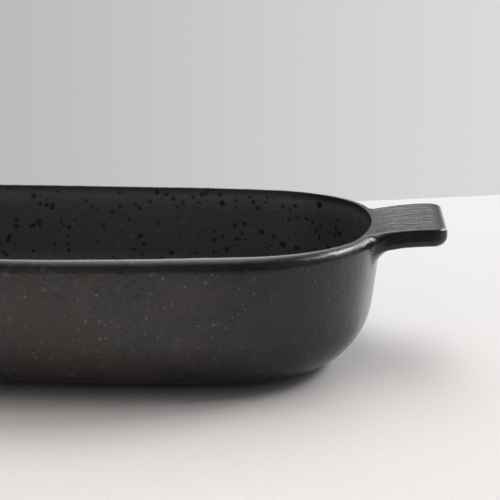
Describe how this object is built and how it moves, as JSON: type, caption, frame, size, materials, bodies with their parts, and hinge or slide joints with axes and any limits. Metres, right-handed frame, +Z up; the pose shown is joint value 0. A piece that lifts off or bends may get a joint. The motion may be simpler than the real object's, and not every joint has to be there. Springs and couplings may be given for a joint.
{
  "type": "lasagna dish",
  "caption": "Oval stoneware baking dish with bowed sides, rounded base, foot ring and a flat tab handle at each end, glazed black and speckled.",
  "frame": {"origin": "middle of the plane that the foot ring stands on", "axes": "+X along the dish towards the right handle, +Y across it, +Z up out of its mouth"},
  "size_m": [0.418, 0.2338, 0.0768],
  "materials": {
    "clay": "bare fired stoneware",
    "glaze": "satin, speckled, black"
  },
  "bodies": {
    "root": {"stoneware_body": "clay", "foot_ring": "clay", "handle_right": "glaze", "handle_left": "glaze", "glaze_inside": "glaze", "glaze_outside": "glaze"}
  },
  "joints": []
}
